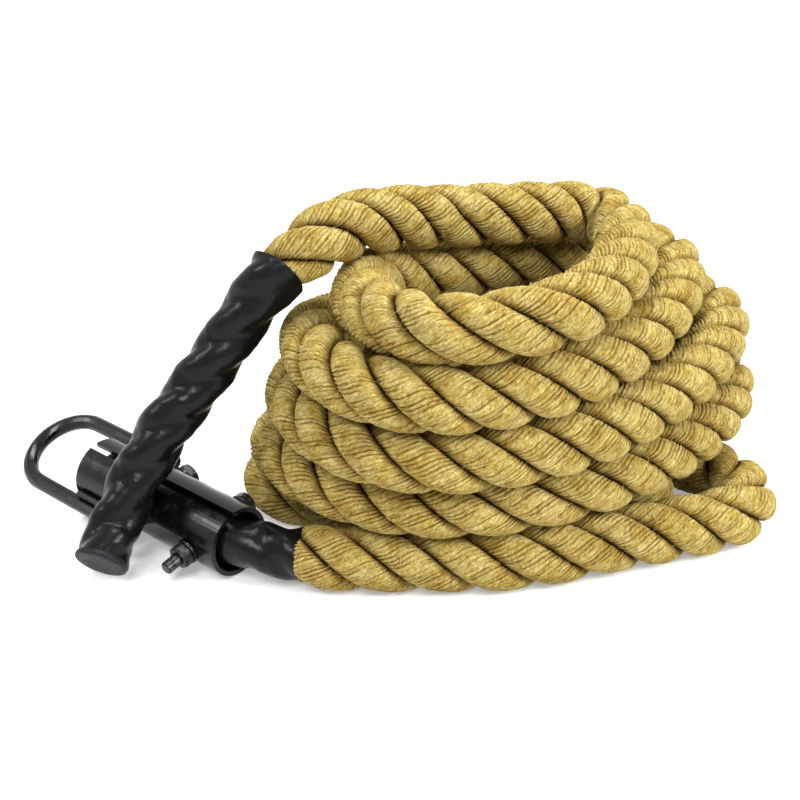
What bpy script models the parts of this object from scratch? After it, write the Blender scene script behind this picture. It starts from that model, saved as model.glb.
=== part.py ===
"""A thick climbing rope laid down in a coil, with a sleeved free end and a bolted hanging clamp.

The rope runs from its free end, which wears a long black sleeve, over the pile, down through six
loops and along the floor into a steel tube. Two bolts cross the tube and the rope in it, and a round
bail welded to the tube's far end is what the rope hangs from.

The frame has +Z up and the floor at zero, and its origin is under the middle of the whole part's
box. The free end and the clamp lie at -X, the wide end of the coil at +X, the front run at -Y.
"""
import math

import bmesh
import bpy
import numpy as np
from mathutils import Matrix, Vector

# Clearances
SEAT_GAP = 0.0003
LEAST_COIL_GAP = 0.0004
CUT_OVERRUN = 0.010

# Rope
ROPE_DIAMETER = 0.038
ROPE_STEP = 0.010
ROPE_TAPER = 0.007
TAPER_LEAD = 0.003

# Coil: where its middle lies, its loops' reach from there and its heights in rope diameters
COIL_CENTRE_X = 0.0678
COIL_CENTRE_Y = -0.0124
COIL_START_TURN = 0.04
COIL_END_TURN = 5.37
COIL_POINTS_PER_LOOP = 24
COIL_CORNER_SHARE = 0.88
COIL_TRACE_STEP = 0.003
COIL_RELAX_PASSES = 60
COIL_TRACE_POINTS = 4000
RIGHT_REACH_SHARES = (2.00, 3.05, 3.95, 4.08, 2.66, 4.20)
RIGHT_DRIFT_SHARES = (1.12, 2.28, 2.54, 2.12, 0.30, 0.00)
LEFT_REACH_SHARES = (2.22, 3.03, 3.31, 3.66, 3.95)
LEFT_DRIFT_SHARES = (0.32, 0.45, 0.05, -0.15, -0.58)
BACK_REACH_SHARES = (1.30, 1.85, 2.24, 2.37, 1.05, 2.32)
FRONT_REACH_SHARES = (2.56, 2.42, 2.34, 1.95, 0.20, 1.05)
BACK_HEIGHT_SHARES = (4.53, 3.33, 2.31, 1.28, 0.36, -0.10)
RIGHT_HEIGHT_SHARES = (4.25, 3.27, 2.26, 1.23, 0.06, 0.0)
FRONT_HEIGHT_SHARES = (4.23, 3.11, 2.08, 1.05, -0.10, 0.07)
LEFT_HEIGHT_SHARES = (3.80, 3.09, 2.07, 1.06, -0.10)

# Free tail: from the coil over the top loop to the sleeve's rim, then down to the floor
FREE_TAIL_ROUTE_SHARES = (
    (-1.63, 0.64, 5.22),
    (-2.42, 0.09, 5.24),
    (-2.97, -0.36, 5.07),
    (-3.46, -0.50, 4.70),
)
FREE_SLEEVE_ROUTE_SHARES = (
    (-3.74, -0.51, 4.39),
    (-4.00, -0.50, 4.03),
    (-4.27, -0.55, 3.63),
    (-4.54, -0.62, 3.26),
    (-4.90, -0.72, 2.76),
    (-5.26, -0.87, 2.32),
    (-5.56, -0.98, 1.84),
    (-5.86, -1.14, 1.33),
    (-6.10, -1.43, 0.82),
    (-6.27, -1.90, 0.46),
)
FREE_SLEEVE_SQUEEZE = 0.004
SLEEVE_WALL = 0.0014
FREE_END_DEPTH = 0.002

# Clamp tail: from the coil along the floor to the short sleeve's edge
CLAMP_TAIL_ROUTE_SHARES = (
    (0.71, -1.74, 0.52),
    (-0.08, -1.91, 0.52),
    (-1.63, -1.95, 0.52),
    (-2.41, -1.93, 0.52),
    (-3.19, -1.82, 0.52),
)
ROPE_MOUTH_SHARES = (-4.163, -1.555)
CLAMP_SLEEVE_EDGE_SQUEEZE = 0.003
CLAMP_SLEEVE_NECK_SQUEEZE = 0.0084
CLAMP_SLEEVE_HELD_SQUEEZE = 0.005
CLAMP_SLEEVE_NECK_DEPTH = 0.012

# Clamp tube: its bore takes the rope, and its axis runs from the bail's mouth to the rope's mouth
TUBE_WALL = 0.003
TUBE_DIAMETER = ROPE_DIAMETER + 2 * TUBE_WALL
TUBE_LENGTH = 0.126
TUBE_SIDES = 64
TUBE_YAW = math.radians(-40.8)
TUBE_DIP = math.radians(1.5)
TUBE_SLIT_WIDTH = 0.005
TUBE_SLIT_ANGLE = math.radians(106.0)
HELD_END_DEPTH = 0.008

# Bolts, nuts and washers
BOLT_DIAMETER = 0.008
BOLT_LENGTH = 0.065
BOLT_ANGLE = math.radians(14.0)
BAIL_SIDE_BOLT_INSET = 0.053
ROPE_SIDE_BOLT_INSET = 0.0215
BOLT_TIP_CHAMFER = 0.0008
HEX_ACROSS_FLATS = 0.013
HEX_CHAMFER = 0.0005
HEAD_HEIGHT = 0.0053
NUT_HEIGHT = 0.0065
WASHER_DIAMETER = 0.016
WASHER_THICKNESS = 0.0016
ROUND_STEPS = 24

# Bail and its welds
BAIL_ROD_DIAMETER = 0.010
BAIL_LEG_ANGLE = math.radians(25.0)
BAIL_LEG_LENGTH = 0.042
BAIL_STRAIGHT = 0.0345
BAIL_ARC_POINTS = 24
WELD_DIAMETER = 0.0044
WELD_LENGTH = 0.034

# Colours
ROPE_COLOUR = (0.552, 0.376, 0.122)
SLEEVE_COLOUR = (0.012, 0.012, 0.013)
CLAMP_COLOUR = (0.016, 0.016, 0.017)
FASTENER_COLOUR = (0.060, 0.060, 0.062)

FLOOR_LEVEL = 0.0
PART_COLLECTION = "climbing_rope"
CUTTER_COLLECTION = "cutters"
ROUND_ANGLE = math.radians(40.0)
MERGE_DISTANCE = 0.00001
BALL_STEPS = 6


def clear_scene():
    for item in list(bpy.data.objects):
        bpy.data.objects.remove(item)
    for item in list(bpy.data.collections):
        bpy.data.collections.remove(item)


def new_collection(name):
    collection = bpy.data.collections.new(name)
    bpy.context.scene.collection.children.link(collection)
    return collection


def new_material(name, colour, roughness, metallic=0.0):
    material = bpy.data.materials.new(name)
    material.use_nodes = True
    shader = material.node_tree.nodes["Principled BSDF"]
    shader.inputs["Base Color"].default_value = (*colour, 1.0)
    shader.inputs["Roughness"].default_value = roughness
    shader.inputs["Metallic"].default_value = metallic
    material.diffuse_color = (*colour, 1.0)
    return material


def add_object(name, data, collection, material=None, place=None):
    item = bpy.data.objects.new(name, data)
    collection.objects.link(item)
    if material is not None:
        data.materials.append(material)
    if place is not None:
        item.matrix_world = place
    return item


def new_mesh_from(name, shape):
    mesh = bpy.data.meshes.new(name)
    shape.to_mesh(mesh)
    shape.free()
    return mesh


def shade_round(mesh):
    mesh.shade_smooth()
    mesh.set_sharp_from_angle(angle=ROUND_ANGLE)


def eased(values, steps):
    """Cosine blend between the neighbours of a list, at fractional steps."""
    values = np.asarray(values, float)
    steps = np.clip(steps, 0, len(values) - 1)
    low = np.minimum(np.floor(steps).astype(int), len(values) - 2)
    blend = (1 - np.cos(math.pi * (steps - low))) / 2
    return values[low] * (1 - blend) + values[low + 1] * blend


def smooth_line(points, steps):
    """Catmull-Rom curve through points, or through a list of numbers, at fractional steps."""
    points = np.asarray(points, float)
    steps = np.clip(steps, 0, len(points) - 1)
    low = np.minimum(np.floor(steps).astype(int), len(points) - 2)
    t = steps - low
    padded = np.concatenate([[2 * points[0] - points[1]], points, [2 * points[-1] - points[-2]]])
    if points.ndim == 2:
        t = t[:, None]
    before, here, there, after = (padded[low + k] for k in range(4))
    straight = 2 * here + (there - before) * t
    bend = (2 * before - 5 * here + 4 * there - after) * t ** 2
    turn = (3 * here - before - 3 * there + after) * t ** 3
    return (straight + bend + turn) / 2


def woven(*lists):
    """The lists' values in turn, one of each at a time, as far as the first list goes."""
    rows = [row for group in zip(*lists) for row in group]
    if len(lists[0]) > len(lists[-1]):
        rows.append(lists[0][-1])
    return rows


def travelled(points):
    steps = np.linalg.norm(np.diff(points, axis=0), axis=1)
    return np.concatenate([[0.0], np.cumsum(steps)])


def at_distances(points, distances):
    along = travelled(points)
    return np.stack([np.interp(distances, along, points[:, k]) for k in range(3)], axis=1)


def evenly(points, count):
    return at_distances(points, np.linspace(0.0, travelled(points)[-1], count))


def relaxed(points, passes):
    """Each point drawn towards its neighbours, again and again; the two ends stay."""
    points = points.copy()
    for _ in range(passes):
        points[1:-1] = (points[:-2] + 2 * points[1:-1] + points[2:]) / 4
    return points


def coil_points(turns):
    """Centre line of the coil at the given turns: 0 is the back, then right, front and left.

    Each loop is an oval whose four reaches are eased from one loop to the next, and the height
    falls steadily from the top loop to the floor.
    """
    angle = 2 * math.pi * turns
    side = eased(woven(RIGHT_REACH_SHARES, LEFT_REACH_SHARES), 2 * turns - 0.5)
    drift = eased(woven(RIGHT_DRIFT_SHARES, LEFT_DRIFT_SHARES), 2 * turns - 0.5)
    deep = eased(woven(BACK_REACH_SHARES, FRONT_REACH_SHARES), 2 * turns)
    back_and_front = woven(BACK_HEIGHT_SHARES, FRONT_HEIGHT_SHARES)
    right_and_left = woven(RIGHT_HEIGHT_SHARES, LEFT_HEIGHT_SHARES)
    height = smooth_line(woven(back_and_front, right_and_left), 4 * turns)
    across = np.sign(np.sin(angle)) * np.abs(np.sin(angle)) ** COIL_CORNER_SHARE
    back = np.sign(np.cos(angle)) * np.abs(np.cos(angle)) ** COIL_CORNER_SHARE
    x = COIL_CENTRE_X + ROPE_DIAMETER * side * across
    y = COIL_CENTRE_Y + ROPE_DIAMETER * (deep * back + drift * across)
    z = FLOOR_LEVEL + ROPE_DIAMETER * (height + 0.5)
    return np.stack([x, y, z], axis=1)


def coil_line():
    """The coil's centre line, with both ends run straight for one rope diameter."""
    turns = np.linspace(COIL_START_TURN, COIL_END_TURN, COIL_TRACE_POINTS)
    traced = coil_points(turns)
    traced = evenly(traced, round(travelled(traced)[-1] / COIL_TRACE_STEP))
    traced = relaxed(traced, COIL_RELAX_PASSES)
    loops = COIL_END_TURN - COIL_START_TURN
    line = evenly(traced, round(COIL_POINTS_PER_LOOP * loops))
    first = line[0] + ROPE_DIAMETER * direction(traced[1], traced[0])
    last = line[-1] + ROPE_DIAMETER * direction(traced[-2], traced[-1])
    return np.concatenate([[first], line, [last]])


def direction(start, end):
    return (end - start) / np.linalg.norm(end - start)


def least_gap(line, other=None):
    """Least free space between the rope's sides, on points a millimetre or so apart."""
    count = round(travelled(line)[-1] / COIL_TRACE_STEP) * 3
    points = evenly(line, count)
    if other is None:
        against = points
        along = travelled(points)
        near = np.abs(along[:, None] - along[None, :]) < 3 * ROPE_DIAMETER
    else:
        against = evenly(other, round(travelled(other)[-1] / COIL_TRACE_STEP) * 3)
        reach = travelled(points)[:, None] + travelled(against)[None, :]
        near = reach < 3 * ROPE_DIAMETER
    apart = np.linalg.norm(points[:, None, :] - against[None, :, :], axis=2)
    apart[near] = apart.max()
    return apart.min() - ROPE_DIAMETER


def route(shares):
    """A hand-chosen route, in rope diameters from the coil's middle on the floor."""
    middle = np.array([COIL_CENTRE_X, COIL_CENTRE_Y, FLOOR_LEVEL])
    return middle + ROPE_DIAMETER * np.array(shares)


def tail_start(line):
    """The first, straight points of a tail that meets the end of a line face to face."""
    heading = direction(line[-2], line[-1])
    face = line[-1] + SEAT_GAP * heading
    return [face + step * ROPE_DIAMETER * heading / 3 for step in range(3)]


def smooth_route(points, marks):
    """A smooth curve through points, and how far along it the points named by index lie."""
    between = 24
    curve = smooth_line(points, np.linspace(0, len(points) - 1, between * (len(points) - 1) + 1))
    along = travelled(curve)
    return curve, [along[between * mark] for mark in marks]


def stations(start, end):
    return np.linspace(start, end, max(2, math.ceil((end - start) / ROPE_STEP) + 1))


def tube(name, points, radii, facets, collection, material=None):
    """A closed tube through points: a bevelled curve made a mesh, its caps welded on."""
    curve = bpy.data.curves.new(name, "CURVE")
    curve.dimensions = "3D"
    curve.twist_mode = "Z_UP"
    curve.bevel_depth = max(radii)
    curve.bevel_resolution = facets
    curve.use_fill_caps = True
    spline = curve.splines.new("POLY")
    spline.points.add(len(points) - 1)
    for knot, point, radius in zip(spline.points, points, radii):
        knot.co = (*point, 1.0)
        knot.radius = radius / max(radii)
    guide = bpy.data.objects.new(name, curve)
    collection.objects.link(guide)
    evaluated = guide.evaluated_get(bpy.context.evaluated_depsgraph_get())
    mesh = bpy.data.meshes.new_from_object(evaluated)
    bpy.data.objects.remove(guide)
    shape = bmesh.new()
    shape.from_mesh(mesh)
    bmesh.ops.remove_doubles(shape, verts=shape.verts, dist=MERGE_DISTANCE)
    bmesh.ops.recalc_face_normals(shape, faces=shape.faces)
    shape.to_mesh(mesh)
    shape.free()
    mesh.materials.clear()
    mesh.name = name
    shade_round(mesh)
    return add_object(name, mesh, collection, material)


def turned(name, profile, closed, steps, collection, material=None, place=None):
    """A profile of (radius, height) pairs turned about Z, its outer side listed downwards."""
    count = len(profile)
    edges = [(k, k + 1) for k in range(count - 1)]
    if closed:
        edges.append((count - 1, 0))
    mesh = bpy.data.meshes.new(name)
    mesh.from_pydata([(radius, 0.0, height) for radius, height in profile], edges, [])
    item = add_object(name, mesh, collection, material, place)
    screw = item.modifiers.new("turn", "SCREW")
    screw.steps = steps
    screw.render_steps = steps
    screw.use_merge_vertices = True
    screw.merge_threshold = MERGE_DISTANCE
    return item


def ring_profile(outer, inner, low, high):
    return [(outer, high), (outer, low), (inner, low), (inner, high)]


def rod_profile(radius, low, high, chamfer=0.0):
    """A solid rod from high down to low, its low end chamfered where a chamfer is given."""
    profile = [(0.0, high), (radius, high), (radius, low + chamfer)]
    if chamfer:
        profile.append((radius - chamfer, low))
    return [*profile, (0.0, low)]


def hex_blank(name, low, high, collection, material, place):
    """A hexagon bar between two heights, its corners turned off by a chamfer at both ends."""
    shape = bmesh.new()
    corner = HEX_ACROSS_FLATS / (2 * math.cos(math.pi / 6))
    bmesh.ops.create_cone(
        shape, cap_ends=True, segments=6, radius1=corner, radius2=corner, depth=high - low,
        matrix=Matrix.Translation((0.0, 0.0, (low + high) / 2)),
    )
    item = add_object(name, new_mesh_from(name, shape), collection, material, place)
    flat = HEX_ACROSS_FLATS / 2
    profile = [
        (0.0, high + CUT_OVERRUN),
        (flat, high + CUT_OVERRUN),
        (flat, high),
        (corner + HEX_CHAMFER, high - (corner - flat + HEX_CHAMFER) / 2),
        (corner + HEX_CHAMFER, low + (corner - flat + HEX_CHAMFER) / 2),
        (flat, low),
        (flat, low - CUT_OVERRUN),
        (0.0, low - CUT_OVERRUN),
    ]
    blank = turned(f"{name}_chamfers", profile, False, 2 * ROUND_STEPS, cutters(), place=place)
    combine(item, blank, "INTERSECT")
    return item


def cutters():
    return bpy.data.collections[CUTTER_COLLECTION]


def combine(item, tool, operation="DIFFERENCE"):
    tool.hide_render = True
    tool.display_type = "WIRE"
    step = item.modifiers.new(tool.name, "BOOLEAN")
    step.operation = operation
    step.object = tool
    step.solver = "EXACT"


def clamp_frame():
    """Frame of the clamp tube: +Z from the bail's mouth to the rope's, +Y upwards."""
    axis = Vector((
        math.cos(TUBE_YAW) * math.cos(TUBE_DIP),
        math.sin(TUBE_YAW) * math.cos(TUBE_DIP),
        -math.sin(TUBE_DIP),
    ))
    side = Vector((-math.sin(TUBE_YAW), math.cos(TUBE_YAW), 0.0))
    up = axis.cross(side)
    x = COIL_CENTRE_X + ROPE_DIAMETER * ROPE_MOUTH_SHARES[0]
    y = COIL_CENTRE_Y + ROPE_DIAMETER * ROPE_MOUTH_SHARES[1]
    rope_mouth = Vector((x, y, FLOOR_LEVEL + SEAT_GAP + TUBE_DIAMETER / 2))
    frame = Matrix((side, up, axis)).transposed().to_4x4()
    frame.translation = rope_mouth - TUBE_LENGTH * axis
    return frame


def bolt_frame(place):
    """Frame of one bolt: its origin on the clamp tube's axis and +Z towards its head."""
    heading = Vector((math.cos(BOLT_ANGLE), math.sin(BOLT_ANGLE), 0.0))
    across = Vector((0.0, 0.0, 1.0))
    turn = Matrix((across, heading.cross(across), heading)).transposed().to_4x4()
    return clamp_frame() @ Matrix.Translation((0.0, 0.0, place)) @ turn


def bolt_places():
    """Each bolt's name and its distance from the bail's mouth along the tube."""
    return {"bail_side": BAIL_SIDE_BOLT_INSET, "rope_side": TUBE_LENGTH - ROPE_SIDE_BOLT_INSET}


def bolt_hole(name, place):
    radius = BOLT_DIAMETER / 2 + SEAT_GAP
    reach = TUBE_DIAMETER / 2 + CUT_OVERRUN
    return turned(name, rod_profile(radius, -reach, reach), False, ROUND_STEPS, cutters(),
                  place=bolt_frame(place))


def in_clamp(x, y, z):
    return np.array(clamp_frame() @ Vector((x, y, z)))


def make_coil(part, material):
    line = coil_line()
    radii = [ROPE_DIAMETER / 2] * len(line)
    coil = tube("rope_coil", line, radii, 1, part, material)
    span = float(np.abs(line).max()) + ROPE_DIAMETER
    shape = bmesh.new()
    bmesh.ops.create_cube(shape, size=1.0)
    bmesh.ops.scale(shape, vec=(2 * span, 2 * span, ROPE_DIAMETER), verts=shape.verts)
    drop = (0.0, 0.0, FLOOR_LEVEL - ROPE_DIAMETER / 2)
    bmesh.ops.translate(shape, vec=drop, verts=shape.verts)
    floor = add_object("floor_cut", new_mesh_from("floor_cut", shape), cutters())
    combine(coil, floor)
    return line


def make_free_end(part, coil, rope, sleeve):
    """The rope from the coil's top loop to its free end, and the long sleeve on it."""
    shares = [*FREE_TAIL_ROUTE_SHARES, *FREE_SLEEVE_ROUTE_SHARES]
    start = tail_start(coil[::-1])
    points = np.concatenate([start, route(shares)])
    rim_index = len(start) + len(FREE_TAIL_ROUTE_SHARES) - 1
    curve, (rim, end) = smooth_route(points, [rim_index, len(points) - 1])
    rope_end = end - FREE_END_DEPTH
    outer = (ROPE_DIAMETER - FREE_SLEEVE_SQUEEZE) / 2
    inner = outer - SLEEVE_WALL
    covered = stations(rim, rope_end)
    open_run = stations(0.0, rim - TAPER_LEAD - ROPE_TAPER)
    rope_at = np.concatenate([open_run, [rim - TAPER_LEAD], covered])
    rope_radii = [ROPE_DIAMETER / 2] * len(open_run) + [inner - SEAT_GAP] * (1 + len(covered))
    tube("rope_free_tail", at_distances(curve, rope_at), rope_radii, 4, part, rope)
    sleeve_at = np.append(covered, end)
    line = at_distances(curve, sleeve_at)
    cover = tube("free_end_sleeve", line, [outer] * len(line), 4, part, sleeve)
    before = at_distances(curve, rope_at[len(open_run) - 1:len(open_run) + 1])
    after = line[-1] + CUT_OVERRUN * direction(line[-2], line[-1])
    bore = np.concatenate([before, line, [after]])
    combine(cover, tube("free_end_sleeve_bore", bore, [inner] * len(bore), 4, cutters()))
    return at_distances(curve, open_run)


def make_held_end(part, coil, rope, sleeve):
    """The rope from the coil along the floor into the clamp, and the short sleeve on it."""
    depths = (0.0, CLAMP_SLEEVE_NECK_DEPTH, 2 * CLAMP_SLEEVE_NECK_DEPTH, 4 * CLAMP_SLEEVE_NECK_DEPTH)
    inside = [in_clamp(0.0, 0.0, TUBE_LENGTH - depth) for depth in depths]
    last = in_clamp(0.0, 0.0, HELD_END_DEPTH)
    start = tail_start(coil)
    points = np.concatenate([start, route(CLAMP_TAIL_ROUTE_SHARES), inside, [last]])
    edge_index = len(start) + len(CLAMP_TAIL_ROUTE_SHARES) - 1
    marks = [edge_index, edge_index + 1, edge_index + 2, len(points) - 1]
    curve, (edge, neck, held, end) = smooth_route(points, marks)
    covered = np.concatenate([stations(edge, neck), stations(neck, held)[1:], stations(held, end)[1:]])
    squeeze = [CLAMP_SLEEVE_EDGE_SQUEEZE, CLAMP_SLEEVE_NECK_SQUEEZE,
               CLAMP_SLEEVE_HELD_SQUEEZE, CLAMP_SLEEVE_HELD_SQUEEZE]
    outer = (ROPE_DIAMETER - np.interp(covered, [edge, neck, held, end], squeeze)) / 2
    inner = outer - SLEEVE_WALL
    open_run = stations(0.0, edge - TAPER_LEAD - ROPE_TAPER)
    rope_at = np.concatenate([open_run, [edge - TAPER_LEAD], covered])
    rope_radii = [ROPE_DIAMETER / 2] * len(open_run) + [inner[0] - SEAT_GAP, *(inner - SEAT_GAP)]
    tail = tube("rope_clamp_tail", at_distances(curve, rope_at), rope_radii, 4, part, rope)
    line = at_distances(curve, covered)
    cover = tube("clamp_end_sleeve", line, list(outer), 4, part, sleeve)
    before = at_distances(curve, rope_at[len(open_run) - 1:len(open_run) + 1])
    after = line[-1] + CUT_OVERRUN * direction(line[-2], line[-1])
    bore = np.concatenate([before, line, [after]])
    bore_radii = [inner[0], inner[0], *inner, inner[-1]]
    combine(cover, tube("clamp_end_sleeve_bore", bore, bore_radii, 4, cutters()))
    for side, place in bolt_places().items():
        hole = bolt_hole(f"rope_hole_{side}", place)
        combine(tail, hole)
        combine(cover, hole)
    return at_distances(curve, open_run)


def make_clamp_tube(part, material):
    frame = clamp_frame()
    outer = TUBE_DIAMETER / 2
    profile = ring_profile(outer, outer - TUBE_WALL, 0.0, TUBE_LENGTH)
    body = turned("clamp_tube", profile, True, TUBE_SIDES, part, material, frame)
    shape = bmesh.new()
    bmesh.ops.create_cube(shape, size=1.0)
    size = (TUBE_DIAMETER, TUBE_SLIT_WIDTH, TUBE_LENGTH + 2 * CUT_OVERRUN)
    bmesh.ops.scale(shape, vec=size, verts=shape.verts)
    bmesh.ops.translate(shape, vec=(TUBE_DIAMETER / 2, 0.0, TUBE_LENGTH / 2), verts=shape.verts)
    turn = Matrix.Rotation(TUBE_SLIT_ANGLE, 4, "Z")
    slit = add_object("clamp_slit", new_mesh_from("clamp_slit", shape), cutters(), place=frame @ turn)
    combine(body, slit)
    for side, place in bolt_places().items():
        combine(body, bolt_hole(f"tube_hole_{side}", place))


def make_fasteners(part, material):
    """Two bolts across the tube, each with a washer under its head and one under its nut."""
    washer_seat = TUBE_DIAMETER / 2 + SEAT_GAP
    seat = washer_seat + WASHER_THICKNESS + SEAT_GAP
    radius = BOLT_DIAMETER / 2
    bore = radius + SEAT_GAP
    for side, place in bolt_places().items():
        frame = bolt_frame(place)
        bolt = hex_blank(f"bolt_{side}", seat, seat + HEAD_HEIGHT, part, material, frame)
        shank = rod_profile(radius, seat - BOLT_LENGTH, seat + HEAD_HEIGHT / 2, BOLT_TIP_CHAMFER)
        combine(bolt, turned(f"bolt_{side}_shank", shank, False, ROUND_STEPS, cutters(),
                             place=frame), "UNION")
        nut = hex_blank(f"nut_{side}", -seat - NUT_HEIGHT, -seat, part, material, frame)
        hole = rod_profile(bore, -seat - NUT_HEIGHT - CUT_OVERRUN, CUT_OVERRUN - seat)
        combine(nut, turned(f"nut_{side}_bore", hole, False, ROUND_STEPS, cutters(), place=frame))
        for end, low in (("head", washer_seat), ("nut", -washer_seat - WASHER_THICKNESS)):
            profile = ring_profile(WASHER_DIAMETER / 2, bore, low, low + WASHER_THICKNESS)
            turned(f"washer_{side}_{end}", profile, True, ROUND_STEPS, part, material, frame)


def bail_reach():
    """Distance of each bail leg's middle from the tube's axis."""
    return TUBE_DIAMETER / 2 + SEAT_GAP + BAIL_ROD_DIAMETER / 2


def make_bail(part, material):
    """A round rod bent to a U, its legs along the outside of the tube."""
    reach = bail_reach()
    out = np.array([math.cos(BAIL_LEG_ANGLE), math.sin(BAIL_LEG_ANGLE)])
    outline = [(reach, BAIL_LEG_LENGTH)]
    for k in range(BAIL_ARC_POINTS + 1):
        turn = math.pi * k / BAIL_ARC_POINTS
        outline.append((reach * math.cos(turn), -BAIL_STRAIGHT - reach * math.sin(turn)))
    outline.append((-reach, BAIL_LEG_LENGTH))
    points = [in_clamp(*(across * out), along) for across, along in outline]
    tube("hanging_bail", points, [BAIL_ROD_DIAMETER / 2] * len(points), 4, part, material)


def make_welds(part, material):
    """Four beads, one in the valley on each side of each bail leg."""
    radius = WELD_DIAMETER / 2
    to_tube = TUBE_DIAMETER / 2 + SEAT_GAP + radius
    to_leg = BAIL_ROD_DIAMETER / 2 + SEAT_GAP + radius
    reach = bail_reach()
    along = (reach ** 2 + to_tube ** 2 - to_leg ** 2) / (2 * reach)
    aside = math.sqrt(to_tube ** 2 - along ** 2)
    straight = WELD_LENGTH / 2 - radius
    arc = [math.pi * k / (2 * BALL_STEPS) for k in range(BALL_STEPS + 1)]
    top = [(radius * math.sin(turn), straight + radius * math.cos(turn)) for turn in arc]
    profile = top + [(width, -height) for width, height in reversed(top)]
    for leg, leg_angle in (("upper", BAIL_LEG_ANGLE), ("lower", BAIL_LEG_ANGLE + math.pi)):
        for side, sign in (("front", 1.0), ("back", -1.0)):
            offset = Matrix.Rotation(leg_angle, 4, "Z") @ Matrix.Translation(
                (along, sign * aside, BAIL_LEG_LENGTH / 2))
            turned(f"weld_{leg}_{side}", profile, False, 2 * BALL_STEPS, part, material,
                   clamp_frame() @ offset)


def main():
    clear_scene()
    part = new_collection(PART_COLLECTION)
    new_collection(CUTTER_COLLECTION)
    rope = new_material("rope", ROPE_COLOUR, 0.9)
    sleeve = new_material("heat_shrink", SLEEVE_COLOUR, 0.3)
    clamp = new_material("clamp_paint", CLAMP_COLOUR, 0.3)
    fastener = new_material("fastener_steel", FASTENER_COLOUR, 0.4, 0.8)
    coil = make_coil(part, rope)
    free_run = make_free_end(part, coil, rope, sleeve)
    held_run = make_held_end(part, coil, rope, sleeve)
    make_clamp_tube(part, clamp)
    make_fasteners(part, fastener)
    make_bail(part, clamp)
    make_welds(part, clamp)
    print("Coil length", round(travelled(coil)[-1], 3), "m")
    print("Coil's least gap to itself", round(least_gap(coil) * 1000, 2), "mm")
    print("Free tail's least gap to the coil", round(least_gap(free_run, coil) * 1000, 2), "mm")
    print("Clamp tail's least gap to the coil", round(least_gap(held_run, coil[::-1]) * 1000, 2), "mm")
    if least_gap(coil) < LEAST_COIL_GAP:
        print("The coil's loops are too close together")


main()
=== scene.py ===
"""Looks of a thick climbing rope lying in a coil, with a sleeved free end and a bolted hanging clamp.

The rope is three strands laid to the right round one centre line, each with its yarns as ridges on
its surface. Lengths are metres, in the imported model's own frame.
"""
import math

import bpy
import numpy as np
from mathutils import Matrix


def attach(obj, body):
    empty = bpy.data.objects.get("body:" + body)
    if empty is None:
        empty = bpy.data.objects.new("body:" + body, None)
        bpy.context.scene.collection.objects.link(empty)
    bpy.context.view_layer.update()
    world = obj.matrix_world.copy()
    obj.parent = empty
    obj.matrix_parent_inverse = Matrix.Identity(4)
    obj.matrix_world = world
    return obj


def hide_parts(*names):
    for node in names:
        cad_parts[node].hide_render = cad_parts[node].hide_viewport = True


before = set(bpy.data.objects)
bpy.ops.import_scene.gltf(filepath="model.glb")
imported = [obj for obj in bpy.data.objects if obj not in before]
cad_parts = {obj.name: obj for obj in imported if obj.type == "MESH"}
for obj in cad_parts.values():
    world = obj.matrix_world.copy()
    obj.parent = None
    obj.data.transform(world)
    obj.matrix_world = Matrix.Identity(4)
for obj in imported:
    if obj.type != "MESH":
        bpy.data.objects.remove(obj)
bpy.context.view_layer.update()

bl_info = {
    "name": "Climbing rope",
    "version": (1, 0, 0),
    "blender": (4, 5, 0),
    "location": "3D View > Sidebar > Rope",
    "description": "Laid rope, shrink sleeves, hanging clamp and stage",
    "category": "Add Mesh",
}

SEAT_GAP = 0.0003

# Coil: its middle, then its loops' reach from there and its heights in rope diameters. They are the
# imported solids', but for the lowest loops, which lie on the floor, and for the top run and the one
# below it at the back, which are drawn together.
COIL_CENTRE = np.array([0.0678, -0.0124, 0.0])
COIL_START_TURN = 0.04
COIL_END_TURN = 5.37
COIL_CORNER_SHARE = 0.88
COIL_TRACE_STEP = 0.003
COIL_RELAX_PASSES = 60
COIL_TRACE_POINTS = 4000
RIGHT_REACH_SHARES = (2.00, 3.05, 3.95, 4.08, 2.66, 4.20)
RIGHT_DRIFT_SHARES = (1.12, 2.28, 2.54, 2.12, 0.30, 0.00)
LEFT_REACH_SHARES = (2.22, 3.03, 3.31, 3.66, 3.95)
LEFT_DRIFT_SHARES = (0.32, 0.45, 0.05, -0.15, -0.58)
BACK_REACH_SHARES = (1.30, 1.85, 2.24, 2.37, 1.05, 2.32)
FRONT_REACH_SHARES = (2.56, 2.42, 2.34, 1.95, 0.20, 1.05)
BACK_HEIGHT_SHARES = (4.47, 3.43, 2.31, 1.28, 0.36, 0.0)
RIGHT_HEIGHT_SHARES = (4.25, 3.27, 2.26, 1.23, 0.06, 0.0)
FRONT_HEIGHT_SHARES = (4.23, 3.11, 2.08, 1.05, 0.0, 0.05)
LEFT_HEIGHT_SHARES = (3.80, 3.09, 2.07, 1.06, 0.0)

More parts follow.
